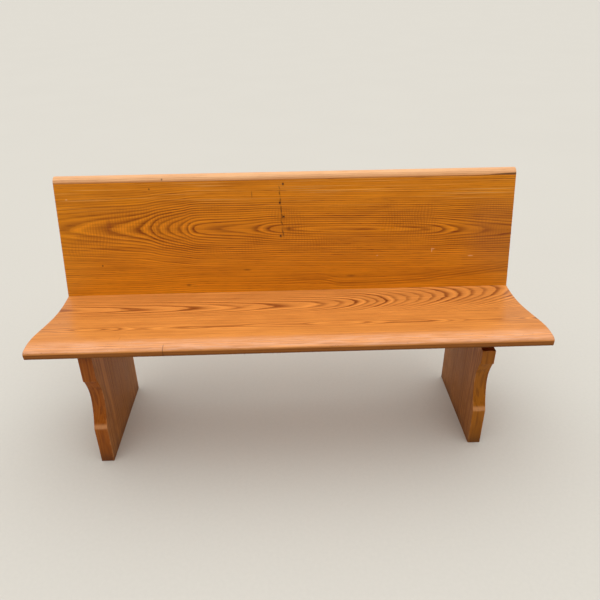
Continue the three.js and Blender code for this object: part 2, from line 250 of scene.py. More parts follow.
def loft(name, outline, tight, rings):
    """A closed mesh through the outline at each ring, drawn in on the sides that no neighbour touches."""
    mesh = bmesh.new()
    rows = []
    for x, drawn_in in rings:
        row = inset(outline, tight, drawn_in) if drawn_in > 1e-7 else outline
        rows.append([mesh.verts.new((x, p.x, p.y)) for p in row])
    count = len(outline)
    for low, high in zip(rows, rows[1:]):
        for k in range(count):
            after = (k + 1) % count
            mesh.faces.new((low[k], low[after], high[after], high[k]))
    mesh.faces.new(rows[0][::-1])
    mesh.faces.new(rows[-1])
    made = bpy.data.meshes.new(name)
    mesh.to_mesh(made)
    mesh.free()
    return made


# ---------------------------------------------------------------- fasteners

slope = end_outline("back_panel")
low_front = min(slope, key=lambda p: p.x)
low_rear = min(slope, key=lambda p: p.y)
thickness_way = (low_rear - low_front).normalized()
BACKWARDS = Vector((0, thickness_way.x, thickness_way.y))
UPSLOPE = X_AXIS.cross(BACKWARDS)


def placing(tip, way):
    """Carries the Z axis at the origin to the line from `tip` along `way`."""
    return Matrix.Translation(tip) @ Z_AXIS.rotation_difference(way).to_matrix().to_4x4()


def lathe(profile, tip, way, sides=32):
    """A closed solid turned from (radius, distance) pairs about the line from `tip` along `way`."""
    place = placing(tip, way)
    mesh = bmesh.new()
    rows = []
    for radius, height in profile:
        if radius < 1e-9:
            rows.append([mesh.verts.new(place @ Vector((0, 0, height)))])
            continue
        row = []
        for k in range(sides):
            angle = 2 * math.pi * k / sides
            spoke = Vector((radius * math.cos(angle), radius * math.sin(angle), height))
            row.append(mesh.verts.new(place @ spoke))
        rows.append(row)
    for low, high in zip(rows, rows[1:]):
        for k in range(sides):
            after = (k + 1) % sides
            quad = [low[k % len(low)], low[after % len(low)], high[after % len(high)], high[k % len(high)]]
            corners = list(dict.fromkeys(quad))
            if len(corners) > 2:
                mesh.faces.new(corners)
    return mesh


def node_list(word):
    return [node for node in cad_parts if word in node]


SCREWS = node_list("screw")
NAILS = node_list("nail")
DOWELS = node_list("dowel")
# Shank and head are radii; head_depth and point are lengths.
SCREW = {"shank": 2.2 * MM, "head": 4.5 * MM, "head_depth": 3.0 * MM, "point": 6.0 * MM}
NAIL = {"shank": 1.3 * MM, "head": 2.5 * MM, "head_depth": 1.2 * MM, "point": 3.0 * MM}
SLACK = 0.4 * MM  # room around a fastener in its hole
# The thread's root is a share of the shank, and it reaches up a share of the screw's length.
THREAD = {"pitch": 1.8 * MM, "root": 0.72, "reach": 0.6}
SLOT = {"width": 0.9 * MM, "depth": 1.1 * MM}


def fastener_way(node):
    """The direction from a fastener's tip to its head."""
    if "back_screw" in node or "edge_screw" in node:
        return BACKWARDS
    if node in NAILS:
        return -BACKWARDS
    if node.endswith(("_1", "_2")):
        return -Z_AXIS
    return -X_AXIS * SIDES[node.split("_")[0]]


def tip_and_length(node, way):
    """Where a fastener's tip is, and its length, from its CAD node."""
    reach = sorted((v.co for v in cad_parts[node].data.vertices), key=lambda co: co.dot(way))
    low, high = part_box(node)
    middle = (Vector(low) + Vector(high)) / 2
    length = (reach[-1] - reach[0]).dot(way)
    return middle + way * (reach[0] - middle).dot(way), length


def clearance_holes():
    """Closed solids of the room that each fastener and dowel needs."""
    run_out = 10 * MM
    holes = []
    for node in SCREWS + NAILS:
        size = NAIL if node in NAILS else SCREW
        way = fastener_way(node)
        tip, length = tip_and_length(node, way)
        shank = size["shank"] + SLACK
        head = size["head"] + SLACK
        neck = length - size["head_depth"] - SLACK
        top = length + run_out
        profile = [(0, -SLACK), (shank, -SLACK), (shank, neck), (head, neck), (head, top), (0, top)]
        holes.append(lathe(profile, tip, way))
    for node in DOWELS:
        low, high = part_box(node)
        radius = (high.x - low.x) / 2 + SLACK
        length = high.y - low.y + 2 * SLACK
        start = Vector(((low.x + high.x) / 2, low.y - SLACK, (low.z + high.z) / 2))
        holes.append(lathe([(0, 0), (radius, 0), (radius, length), (0, length)], start, Y_AXIS))
    return holes


HOLES = clearance_holes()


def overlaps(solid, low, high):
    """Whether a solid's box and the box from low to high overlap."""
    for k in range(3):
        places = [v.co[k] for v in solid.verts]
        if min(places) >= high[k] or max(places) <= low[k]:
            return False
    return True


def cut_away(mesh, cutters):
    """The mesh with the cutters, closed bmesh solids, taken out of it."""
    gathered = bmesh.new()
    for cutter in cutters:
        part = bpy.data.meshes.new("cutter")
        cutter.to_mesh(part)
        gathered.from_mesh(part)
        bpy.data.meshes.remove(part)
    joined = bpy.data.meshes.new("cutters")
    gathered.to_mesh(joined)
    gathered.free()
    tool = bpy.data.objects.new("cutters", joined)
    blank = bpy.data.objects.new("blank", mesh)
    for thing in (tool, blank):
        bpy.context.scene.collection.objects.link(thing)
    cut = blank.modifiers.new("cut", "BOOLEAN")
    cut.operation = "DIFFERENCE"
    cut.solver = "EXACT"
    cut.object = tool
    bpy.context.view_layer.update()
    graph = bpy.context.evaluated_depsgraph_get()
    result = bpy.data.meshes.new_from_object(blank.evaluated_get(graph))
    result.name = mesh.name
    for thing in (blank, tool):
        bpy.data.objects.remove(thing)
    for spent in (joined, mesh):
        bpy.data.meshes.remove(spent)
    return result


def drilled(mesh, node):
    """The board's mesh with every fastener hole that reaches into it cut out."""
    low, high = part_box(node)
    cutters = [hole for hole in HOLES if overlaps(hole, low, high)]
    return cut_away(mesh, cutters) if cutters else mesh


# ---------------------------------------------------------------- placing a piece


def mark_arrises(mesh):
    """Stores, in the point attribute "arris", 1 on rounded arrises and 0 on flats and sharp edges."""
    flattest, sharpest = math.radians(9), math.radians(50)
    shape = bmesh.new()
    shape.from_mesh(mesh)
    values = []
    for vert in shape.verts:
        bend = 0.0
        for edge in vert.link_edges:
            if len(edge.link_faces) == 2:
                angle = edge.calc_face_angle(0.0)
                if angle < sharpest:
                    bend = max(bend, angle)
        values.append(max(0.0, min(1.0, bend / flattest - 1.0)))
    shape.free()
    attribute = mesh.attributes.new("arris", "FLOAT", "POINT")
    attribute.data.foreach_set("value", values)


def place_piece(name, mesh, node, material):
    """Shows a finished mesh in place of its CAD node."""
    mark_arrises(mesh)
    mesh.materials.clear()
    mesh.materials.append(material)
    mesh.shade_smooth()
    mesh.set_sharp_from_angle(angle=math.radians(35))
    piece = bpy.data.objects.new(name, mesh)
    bpy.context.scene.collection.objects.link(piece)
    weighted = piece.modifiers.new("even_shading", "WEIGHTED_NORMAL")
    weighted.keep_sharp = True
    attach(piece, "root")
    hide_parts(node)
    return piece


def board(node, material, neighbours, arris=2.2, ends=(1.6, 1.6), corner=40):
    """Builds one wooden piece from its CAD node; arris and end radii are in millimetres."""
    outline, tight = board_outline(node, neighbours, arris * MM, math.radians(corner), 6 * MM)
    low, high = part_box(node)
    rings = stations(low.x, high.x, [r * MM for r in ends], 40 * MM)
    mesh = loft(node + "_wood", outline, tight, rings)
    return place_piece(node + "_wood", drilled(mesh, node), node, material)


# ---------------------------------------------------------------- shader helpers


class Graph:
    """Short calls for building a shader node tree. Lengths on a piece are in millimetres."""

    def __init__(self, tree):
        self.tree = tree
        tree.nodes.clear()

    def feed(self, socket, value):
        if isinstance(value, bpy.types.NodeSocket):
            self.tree.links.new(value, socket)
        else:
            socket.default_value = value

    def add(self, kind, inputs=None, **settings):
        node = self.tree.nodes.new(kind)
        for key, value in settings.items():
            setattr(node, key, value)
        for key, value in (inputs or {}).items():
            self.feed(node.inputs[key], value)
        return node

    def math(self, operation, a, b=0.0, c=0.0):
        return self.add("ShaderNodeMath", {0: a, 1: b, 2: c}, operation=operation).outputs[0]

    def times(self, first, *others):
        for other in others:
            first = self.math("MULTIPLY", first, other)
        return first

    def plus(self, a, b, share=1.0):
        """a + b * share"""
        return self.math("MULTIPLY_ADD", b, share, a)

    def vector(self, operation, a, b=(0, 0, 0)):
        node = self.add("ShaderNodeVectorMath", {0: a, 1: b}, operation=operation)
        return node.outputs["Value" if operation in ("DOT_PRODUCT", "LENGTH") else "Vector"]

    def join(self, x, y, z):
        return self.add("ShaderNodeCombineXYZ", {0: x, 1: y, 2: z}).outputs[0]

    def split(self, vector):
        return self.add("ShaderNodeSeparateXYZ", {0: vector}).outputs[:]

    def step(self, value, low, high, to_low=0.0, to_high=1.0):
        """A smooth change from to_low to to_high as the value goes from low to high."""
        inputs = {0: value, 1: low, 2: high, 3: to_low, 4: to_high}
        return self.add("ShaderNodeMapRange", inputs, interpolation_type="SMOOTHSTEP").outputs[0]

    def band(self, value, middle, half, soft):
        """1 where the value is within `half` of the middle, falling to 0 over `soft` beyond it."""
        off = self.math("ABSOLUTE", self.math("SUBTRACT", value, middle))
        return self.step(off, half, half + soft, 1.0, 0.0)

    def noise(self, vector, size, detail=2.0, roughness=0.5):
        """Noise about 0.5 with features of this size, or of one size for each direction."""
        sizes = size if isinstance(size, tuple) else (size, size, size)
        scaled = self.vector("MULTIPLY", vector, tuple(1 / s for s in sizes))
        inputs = {"Vector": scaled, "Scale": 1.0, "Detail": detail, "Roughness": roughness}
        return self.add("ShaderNodeTexNoise", inputs).outputs["Fac"]

    def noise_along(self, value, size, detail=1.0):
        inputs = {"W": value, "Scale": 1 / size, "Detail": detail}
        return self.add("ShaderNodeTexNoise", inputs, noise_dimensions="1D").outputs["Fac"]

    def mix(self, share, a, b, **settings):
        inputs = {0: share, 6: a, 7: b}
        return self.add("ShaderNodeMix", inputs, data_type="RGBA", **settings).outputs[2]

    def curve(self, value, *knots):
        """A smooth curve through (value, result) knots, level beyond its ends."""
        low, high = knots[0][0], knots[-1][0]
        top = max(result for _, result in knots)
        share = self.add("ShaderNodeMapRange", {0: value, 1: low, 2: high}).outputs[0]
        node = self.add("ShaderNodeFloatCurve", {"Value": share})
        line = node.mapping.curves[0]
        while len(line.points) < len(knots):
            line.points.new(0.5, 0.5)
        for point, (at, result) in zip(line.points, knots):
            point.location = ((at - low) / (high - low), result / top)
        node.mapping.update()
        return self.math("MULTIPLY", node.outputs[0], top)


def srgb(red, green, blue):
    """A colour given as 0 to 255 screen values, made linear."""
    values = [c / 255 for c in (red, green, blue)]
    return tuple(((v + 0.055) / 1.055) ** 2.4 if v > 0.04045 else v / 12.92 for v in values) + (1.0,)


# ---------------------------------------------------------------- wood


def build_wood_group():
    """Cuts wood out of a log: a place in a board gives the colour and the relief there.

    Place is (along the grain, across the face, depth below the face). The log's heart runs along the
    board at Heart Line across it and Heart Depth below it, and the rings lie around the heart.
    """
    tree = bpy.data.node_groups.new("cut_wood", "ShaderNodeTree")
    tree.interface.new_socket(name="Place", in_out="INPUT", socket_type="NodeSocketVector")
    for name in ("Heart Line", "Heart Depth", "Ring Width", "Wander", "Uneven", "Ring Strength", "Mottle",
                 "End Grain", "Seed"):
        tree.interface.new_socket(name=name, in_out="INPUT", socket_type="NodeSocketFloat")
    for name in ("Light", "Dark"):
        tree.interface.new_socket(name=name, in_out="INPUT", socket_type="NodeSocketColor")
    tree.interface.new_socket(name="Color", in_out="OUTPUT", socket_type="NodeSocketColor")
    tree.interface.new_socket(name="Relief", in_out="OUTPUT", socket_type="NodeSocketFloat")

    g = Graph(tree)
    given = g.add("NodeGroupInput").outputs
    seed = given["Seed"]
    shift = g.join(g.times(seed, 900), g.times(seed, 170), g.times(seed, 230))
    place = g.vector("ADD", given["Place"], shift)
    _, across, depth = g.split(given["Place"])

    # Rings: the distance from the heart, bent a little, counted in ring widths.
    off_line = g.math("SUBTRACT", across, given["Heart Line"])
    off_heart = g.plus(depth, given["Heart Depth"])
    radius = g.vector("LENGTH", g.join(off_line, off_heart, 0.0))
    slow = g.math("SUBTRACT", g.noise(place, (660, 110, 110), 1.0), 0.5)
    quick = g.math("SUBTRACT", g.noise(place, (110, 17, 17)), 0.5)
    radius = g.plus(radius, g.times(slow, given["Wander"]), 22.0)
    radius = g.plus(radius, quick, 3.0)
    unevenness = g.noise_along(g.plus(radius, seed, 31.0), 29.0)
    rings = g.plus(g.math("DIVIDE", radius, given["Ring Width"]), g.times(unevenness, given["Uneven"]))
    phase = g.math("FRACT", rings)
    number = g.plus(seed, g.math("FLOOR", rings))
    shade = g.add("ShaderNodeTexWhiteNoise", {"W": number}, noise_dimensions="1D").outputs["Value"]
    early = g.times(g.step(phase, 0.0, 0.12), g.step(phase, 0.16, 0.58, 1.0, 0.0))
    early = g.times(early, g.math("MULTIPLY_ADD", shade, 0.55, 0.45))
    late = g.times(g.step(phase, 0.58, 0.78), g.step(phase, 0.84, 0.98, 1.0, 0.0))
    late = g.times(late, g.step(shade, 0.3, 0.9))

    # Fibres, streaks, cloudy patches and pores.
    fibre = g.noise(place, (290, 3.6, 3.6), 4.0, 0.65)
    streak = g.noise(place, (900, 11, 11), 3.0, 0.6)
    cloud = g.noise(place, (150, 40, 40), 3.0, 0.55)
    pores = g.step(g.noise(place, (42, 1.3, 1.3), 1.0), 0.57, 0.70)
    pores = g.times(pores, g.math("MULTIPLY_ADD", early, 0.75, 0.3))

    darkness = g.plus(g.times(early, given["Ring Strength"]), late, -0.28)
    for value, share in ((fibre, 0.85), (streak, 0.6), (cloud, given["Mottle"])):
        darkness = g.plus(darkness, g.math("SUBTRACT", value, 0.5), share)
    darkness = g.plus(darkness, pores, 0.45)
    darkness = g.plus(darkness, given["End Grain"], 0.55)
    darkness = g.add("ShaderNodeClamp", {0: g.plus(0.16, darkness), 1: -0.2, 2: 1.3}).outputs[0]
    color = g.mix(darkness, given["Light"], given["Dark"], clamp_factor=False)

    relief = g.plus(g.times(early, -0.03), pores, -0.08)
    relief = g.plus(relief, fibre, 0.03)
    out = g.add("NodeGroupOutput")
    g.feed(out.inputs["Color"], color)
    g.feed(out.inputs["Relief"], relief)
    return tree


WOOD_GROUP = build_wood_group()


class WoodMaterial:
    """A material for one board. Its face lies across `across`, and `inward` points into the wood."""

    def __init__(self, name, origin, along, across, inward, seed):
        self.material = bpy.data.materials.new(name)
        self.material.use_nodes = True
        g = self.graph = Graph(self.material.node_tree)
        coordinates = g.add("ShaderNodeTexCoord")
        offset = g.vector("SUBTRACT", coordinates.outputs["Object"], tuple(origin))
        offset = g.vector("MULTIPLY", offset, (1 / MM, 1 / MM, 1 / MM))
        ways = [g.vector("DOT_PRODUCT", offset, tuple(way)) for way in (along, across, inward)]
        self.along, self.across, self.depth = ways
        self.place = g.join(*ways)
        self.normal = coordinates.outputs["Normal"]
        self.end_grain = g.step(g.math("ABSOLUTE", self.facing(along)), 0.35, 0.8)
        self.seed = seed
        self.dull = 0.0
        self.mark_depth = 1000.0

    def facing(self, way):
        """The cosine of the angle between the surface and a direction."""
        return self.graph.vector("DOT_PRODUCT", self.normal, tuple(way))

    def cut(self, light, dark, heart_line, heart_depth, ring_width=6.0, wander=0.6, uneven=0.6,
            strength=0.5, mottle=0.45):
        """Gives the board its colour and relief from a log whose heart and rings lie as stated."""
        values = {
            "Place": self.place, "Heart Line": heart_line, "Heart Depth": heart_depth,
            "Ring Width": ring_width, "Wander": wander, "Uneven": uneven, "Ring Strength": strength,
            "Mottle": mottle, "End Grain": self.end_grain, "Seed": self.seed, "Light": light, "Dark": dark,
        }
        wood = self.graph.add("ShaderNodeGroup", node_tree=WOOD_GROUP)
        for key, value in values.items():
            self.graph.feed(wood.inputs[key], value)
        self.color = wood.outputs["Color"]
        self.relief = wood.outputs["Relief"]

    def spot(self, along, across, reach_along, reach_across, soft=0.6):
        """1 in the middle of an ellipse on the face and 0 outside it, no deeper than `mark_depth`."""
        g = self.graph
        offset = g.vector("SUBTRACT", self.place, (along, across, 0.0))
        scaled = g.vector("MULTIPLY", offset, (1 / reach_along, 1 / reach_across, 1 / self.mark_depth))
        return g.step(g.vector("LENGTH", scaled), 1.0 - soft, 1.0, 1.0, 0.0)

    def spots(self, ellipses, soft):
        """1 in the middle of any of the ellipses."""
        total = 0.0
        for ellipse in ellipses:
            total = self.graph.math("MAXIMUM", total, self.spot(*ellipse, soft))
        return total

    def tint(self, mask, color, share=1.0):
        """Turns the colour by `share` towards another where the mask is 1."""
        self.color = self.graph.mix(self.graph.times(mask, share), self.color, color)

    def sink(self, mask, depth):
        """Lowers the surface by `depth` millimetres where the mask is 1."""
        self.relief = self.graph.plus(self.relief, mask, -depth)

    def finished(self, varnish=0.85):
        """Varnishes the wood, wears its arrises, and gives the material."""
        g = self.graph
        arris = g.add("ShaderNodeAttribute", attribute_name="arris").outputs["Fac"]
        worn = g.times(arris, g.step(g.noise(self.place, (36, 17, 17), 3.0), 0.42, 0.62))
        self.tint(worn, srgb(222, 154, 96), 0.4)
        smear = g.noise(self.place, (140, 55, 55), 3.0)
        roughness = g.plus(g.plus(0.5, self.end_grain, 0.2), worn, 0.15)
        coat = g.plus(g.plus(varnish, self.end_grain, -0.6 * varnish), self.dull, -0.6)
        bump = g.add("ShaderNodeBump", {"Height": self.relief, "Distance": MM, "Strength": 0.7}).outputs[0]
        shader = g.add("ShaderNodeBsdfPrincipled", {
            "Base Color": self.color, "Roughness": roughness, "Specular IOR Level": 0.0, "Normal": bump,
            "Coat Weight": coat, "Coat Roughness": g.math("MULTIPLY_ADD", smear, 0.2, 0.22),
            "Coat IOR": 1.45, "Coat Normal": bump,
        })
        output = g.add("ShaderNodeOutputMaterial")
        g.feed(output.inputs["Surface"], shader.outputs[0])
        return self.material


AMBER = srgb(229, 141, 20)
AMBER_DARK = srgb(132, 58, 2)
# The cap's pale pinkish colours are a painted sheen, the sky mirrored in its round top.
CAP_SHEEN_LIGHT = srgb(242, 184, 128)
CAP_SHEEN_DARK = srgb(186, 112, 56)
SEAT_LIGHT = srgb(226, 146, 68)
SEAT_DARK = srgb(138, 70, 22)
BROWN = srgb(174, 110, 46)
BROWN_DARK = srgb(88, 42, 12)
# Front-edge colours of the supports, darker than BROWN partly as painted shade on the faces turned to the
# front.
EDGE_AMBER = srgb(164, 96, 4)
EDGE_RED = srgb(152, 74, 4)
BARE = srgb(204, 160, 106)
BARE_DARK = srgb(140, 98, 56)
STAIN = srgb(54, 28, 12)
RAW = srgb(240, 192, 140)  # fresh wood where the varnish is broken


def back_origin():
    """The foot of the back: where its front face meets the level of the seat's rear edge."""
    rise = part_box("seat_rear_board")[1].z - low_front.y
    return Vector((0, low_front.x, low_front.y)) + UPSLOPE * (rise / UPSLOPE.z)


BACK_ORIGIN = back_origin()


def place_on_back(node):
    """Where a piece stands on the back, as millimetres along the pew and up the slope."""
    low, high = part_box(node)
    middle = (Vector(low) + Vector(high)) / 2
    return middle.x / MM, (middle - BACK_ORIGIN).dot(UPSLOPE) / MM


def back_panel_material():
    """The figured board. Its marks are placed in millimetres along the pew and up the board's face."""
    wood = WoodMaterial("amber_figured_back", BACK_ORIGIN, X_AXIS, UPSLOPE, BACKWARDS, 3.1)
    g = wood.graph
    wood.mark_depth = 8.0
    x, up = wood.along, wood.across
    # The log's heart comes nearest to the face right of the middle and sinks away to both ends.
    heart_depth = g.curve(x, (-770, 92), (-595, 83), (-492, 76), (-423, 62), (-350, 48), (-290, 34),
                          (-135, 27), (-5, 13), (200, 8), (442, 13), (585, 27), (770, 38))
    heart_line = g.math("MULTIPLY_ADD", x, -0.024, 204.0)
    off = g.math("ABSOLUTE", g.math("SUBTRACT", up, heart_line))
    strength = g.times(g.step(off, 60, 125, 0.68, 0.3), g.step(x, -680, -400, 0.55, 1.0))
    wood.cut(AMBER, AMBER_DARK, heart_line, heart_depth, ring_width=6.4, wander=0.4, uneven=0.3,
             strength=strength, mottle=0.5)
    # Long pale streaks above the figure.
    streaks = g.times(g.step(g.noise(wood.place, (420, 3.4, 30)), 0.56, 0.70), g.step(up, 265, 310))
    wood.tint(streaks, srgb(250, 186, 100), 0.5)
    # Planer chatter: fine upright lines across the middle of the board.
    drift = g.noise(wood.place, 90)
    beat = g.math("SINE", g.times(g.plus(x, drift, 30.0), 2 * math.pi / 9.5))
    patchy = g.step(g.noise(wood.place, (200, 140, 140)), 0.42, 0.62)
    chatter = g.times(g.band(up, 205, 45, 60), patchy, g.math("MULTIPLY_ADD", beat, 0.5, 0.5))
    wood.tint(chatter, AMBER_DARK, 0.24)
    # Two wavy lines of dark grain that rise to the right above the seat.
    lift = g.curve(x, (-60, 4), (90, 26), (190, 12), (420, 16), (560, 30), (770, 56))
    for above, share in ((-9, 0.3), (0, 0.5), (8, 0.3), (19, 0.22)):
        line = g.times(g.band(up, g.plus(above, lift), 0.8, 3.2), g.step(x, -60, 60))
        wood.tint(line, AMBER_DARK, share)
    # The right end is rubbed dull.
    rubbed = g.times(g.step(x, 560, 680), g.band(up, 175, 70, 80))
    wood.tint(rubbed, srgb(160, 92, 48), 0.3)
    wood.tint(wood.spot(-595, 228, 14, 34, 0.9), srgb(140, 62, 24), 0.4)
    # Iron stain around the nails into the batten, and down the split between them.
    nails = [place_on_back(node) for node in NAILS]
    stains = [(along, across, 6, 9) for along, across in nails]
    wood.tint(wood.spots(stains, 0.95), STAIN, 0.5)
    waver = g.noise_along(up, 30, 1.0)
    split = g.band(x, g.plus(g.math("MULTIPLY_ADD", up, -0.06, 1.0), waver, -10.0), 0.8, 2.6)
    open_part = g.step(g.noise_along(g.plus(500, up), 20), 0.36, 0.6, 0.25, 1.0)
    open_part = g.times(open_part, g.band(up, 262, 72, 20), g.step(wood.depth, 4, 8, 1.0, 0.0))
    wood.tint(g.times(split, open_part), STAIN, 0.65)
    wood.tint(wood.spot(4, 204, 7, 12, 0.9), STAIN, 0.4)
    # Filled nail holes and small knots.
    holes = [(-452, 346, 4, 5), (-632, 92, 4, 5)]
    wood.tint(wood.spots(holes, 0.8), STAIN, 0.75)
    knots = [(-345, 16, 13, 7), (216, 36, 26, 6), (-142, 66, 20, 5), (-116, 322, 3, 18)]
    wood.tint(wood.spots(knots, 0.95), srgb(90, 40, 12), 0.5)
    # Dents that broke the varnish.
    dent = wood.spots([(492, 120, 2.4, 10), (497, 124, 6, 2), (627, 97, 12, 2.4), (305, 105, 4, 2),
                       (-725, 317, 5, 2)], 0.5)
    wood.tint(dent, RAW, 0.6)
    wood.sink(dent, 0.25)
    wood.dull = dent
    return wood.finished()


def cap_material():
    _, middle = place_on_back("back_cap_rail")
    wood = WoodMaterial("amber_cap", BACK_ORIGIN, X_AXIS, UPSLOPE, BACKWARDS, 8.4)
    g = wood.graph
    x, up = wood.along, wood.across
    # The pale cap colours paint in the sheen of the round top.
    wood.cut(CAP_SHEEN_LIGHT, CAP_SHEEN_DARK, heart_line=330.0, heart_depth=60.0, ring_width=5.0, strength=0.4)
    joint = middle - 12
    # A split that opens under the cap towards the right end.
    run = g.step(x, 600, 762)
    off = g.math("ABSOLUTE", g.math("SUBTRACT", up, g.plus(joint + 1.0, run, 4.5)))
    inside = g.step(g.math("SUBTRACT", off, g.times(run, 2.6)), 0.0, 1.4, 1.0, 0.0)
    split = g.times(inside, g.step(x, 615, 640))
    wood.tint(split, STAIN, 0.85)
    wood.sink(split, 0.6)
    # The flat below the round is as dark as the back, without the cap's painted sheen.
    wood.tint(g.step(up, joint + 3, joint + 6, 1.0, 0.0), srgb(184, 108, 36), 0.75)
    wood.tint(wood.spot(-408, joint + 10, 4, 5, 0.8), STAIN, 0.75)
    return wood.finished()


def seat_wood(node, seed):
    """A seat board's material; `across` starts at the board's front edge."""
    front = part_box(node)[0].y
    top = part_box("seat_front_board")[1].z
    return WoodMaterial("amber_" + node, (0, front, top), X_AXIS, Y_AXIS, -Z_AXIS, seed)


def seat_front_material():
    wood = seat_wood("seat_front_board", 12.7)
    g = wood.graph
    wood.cut(SEAT_LIGHT, SEAT_DARK, heart_line=-40.0, heart_depth=60.0, ring_width=5.0, strength=0.3,
             mottle=0.4)
    # The face below the roll, turned to the front, is darkened as painted shade, and darker still along its
    # lower edge, as painted shade where it turns under.
    front = g.step(wood.facing(-Y_AXIS), 0.55, 0.85)
    wood.tint(g.times(front, g.step(wood.depth, 9, 14)), srgb(104, 52, 14), 0.7)
    wood.tint(g.times(front, g.step(wood.depth, 20, 28)), srgb(44, 22, 8), 0.6)
    wood.dull = g.times(front, g.step(wood.depth, 9, 14))
    # A painted pale sheen along the roll, broken into streaks like rubbed varnish; dark specks over the
    # board.
    roll = g.times(g.step(wood.across, 30, 62, 1.0, 0.0), g.step(wood.depth, 6, 11, 1.0, 0.0))
    rubbed = g.step(g.noise(wood.place, (70, 5, 5), 4.0, 0.6), 0.42, 0.66, 0.35, 1.0)
    wood.tint(g.times(roll, rubbed), srgb(236, 184, 152), 0.45)
    specks = g.step(g.noise(wood.place, (7, 4, 4), 2.0), 0.68, 0.74)
    wood.tint(specks, srgb(110, 58, 24), 0.35)
    wood.tint(wood.spot(-366, 4, 1.8, 24, 0.5), srgb(84, 42, 18), 0.55)
    wood.tint(wood.spot(-500, 66, 1.4, 30, 0.7), srgb(150, 84, 40), 0.4)
    return wood.finished()


def seat_middle_material():
    wood = seat_wood("seat_middle_board", 21.3)
    g = wood.graph
    heart_depth = g.math("MULTIPLY_ADD", g.noise(wood.place, (380, 1000, 1000), 1.0), 60.0, -6.0)
    off = g.math("ABSOLUTE", g.math("SUBTRACT", wood.across, 70.0))
    wood.cut(SEAT_LIGHT, SEAT_DARK, 70.0, heart_depth, ring_width=5.0,
             strength=g.step(off, 12, 45, 0.6, 0.3), mottle=0.6)
    return wood.finished()


def seat_rear_material():
    wood = seat_wood("seat_rear_board", 5.9)
    g = wood.graph
    x, back = wood.along, wood.across
    # Long pockets of figure on the left that close up into arrowheads towards the right end.
    heart_line = g.curve(x, (-770, 96), (-300, 90), (90, 94), (400, 122), (770, 166))
    heart_depth = g.curve(x, (-770, 8), (-565, 12), (-345, 17.5), (-70, 28.5), (92, 34), (400, 74),
                          (770, 120))
    off = g.math("ABSOLUTE", g.math("SUBTRACT", back, heart_line))
    wood.cut(SEAT_LIGHT, SEAT_DARK, heart_line, heart_depth, ring_width=5.6, wander=0.3, uneven=0.45,
             strength=g.step(off, 34, 80, 0.85, 0.4))
    dark_pockets = [(-540, 94, 30, 5), (-318, 92, 34, 5), (-142, 92, 30, 4)]
    wood.tint(wood.spots(dark_pockets, 0.9), SEAT_DARK, 0.7)
    # A dark streak in the joint with the middle board.
    streak = g.times(g.band(x, 612, 45, 30), g.step(back, 0.5, 5, 1.0, 0.0))
    wood.tint(streak, srgb(74, 36, 14), 0.6)
    return wood.finished()


def support_material(node, seed, heart_line):
    low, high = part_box(node)
    inward = -X_AXIS if low.x > 0 else X_AXIS
    origin = (high.x if low.x > 0 else low.x, low.y, 0)
    wood = WoodMaterial("brown_" + node, origin, Z_AXIS, Y_AXIS, inward, seed)
    g = wood.graph
    wood.cut(BROWN, BROWN_DARK, heart_line, heart_depth=46.0, ring_width=6.5, wander=1.6,
             uneven=1.4, strength=0.42)
    # The shaped front edge is coloured darker and more saturated than the sides, partly as painted shade on
    # the face turned to the front, and redder on the left; the varnish there has run.
    front = g.step(wood.facing(-Y_AXIS), 0.5, 0.8)
    wood.tint(front, EDGE_AMBER if low.x > 0 else EDGE_RED, 0.72)
    runs = g.step(g.noise(wood.place, (150, 9, 9), 2.0), 0.5, 0.66)
    wood.tint(g.times(front, runs), srgb(92, 42, 6), 0.4)
    # Painted shade close under the seat and towards the floor.
    shaded = g.plus(g.step(wood.along, 385, 430), g.step(wood.along, 30, 110, 1.0, 0.0), 0.5)
    wood.tint(g.times(front, shaded), srgb(70, 32, 8), 0.5)
    # A painted highlight just above the crease of the foot, where the face turns up towards the light.
    wood.tint(g.times(front, g.band(wood.along, 143, 1, 11)), srgb(226, 164, 112), 0.5)
    # Dirt that has worked up from the floor.
    rise = g.plus(wood.along, g.noise(wood.place, (160, 55, 55), 3.0), 50.0)
    wood.tint(g.step(rise, 25, 75, 1.0, 0.0), srgb(66, 44, 30), 0.45)
    return wood.finished(varnish=0.38)


def plain_material(node, along, across, inward, seed):
    wood = WoodMaterial("plain_" + node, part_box(node)[0], along, across, inward, seed)
    wood.cut(BARE, BARE_DARK, heart_line=-20.0, heart_depth=35.0, ring_width=4.0, wander=1.0)
    return wood.finished(varnish=0.1)


# ---------------------------------------------------------------- steel


def steel_material(name, bright, rust, rust_from):
    material = bpy.data.materials.new(name)
    material.use_nodes = True
    g = Graph(material.node_tree)
    place = g.vector("MULTIPLY", g.add("ShaderNodeTexCoord").outputs["Object"], (1 / MM, 1 / MM, 1 / MM))
    patches = g.noise(place, 3.8, 4.0, 0.6)
    grain = g.noise(place, 0.4)
    rusty = g.step(patches, rust_from, rust_from + 0.18)
    color = g.mix(g.times(grain, 0.4), g.mix(rusty, bright, rust), srgb(70, 64, 60))
    bump = g.add("ShaderNodeBump", {"Height": g.plus(patches, grain), "Distance": 0.1 * MM, "Strength": 0.6})
    shader = g.add("ShaderNodeBsdfPrincipled", {
        "Base Color": color, "Roughness": g.plus(g.math("MULTIPLY_ADD", grain, 0.2, 0.25), rusty, 0.4),
        "Metallic": g.plus(0.95, rusty, -0.6), "Normal": bump.outputs[0],
    })
    output = g.add("ShaderNodeOutputMaterial")
    g.feed(output.inputs["Surface"], shader.outputs[0])
    return material


SCREW_STEEL = steel_material("aged_steel", srgb(150, 146, 140), srgb(96, 62, 40), 0.50)
NAIL_STEEL = steel_material("rusty_steel", srgb(112, 70, 38), srgb(80, 42, 18), 0.2)


# ---------------------------------------------------------------- the pieces


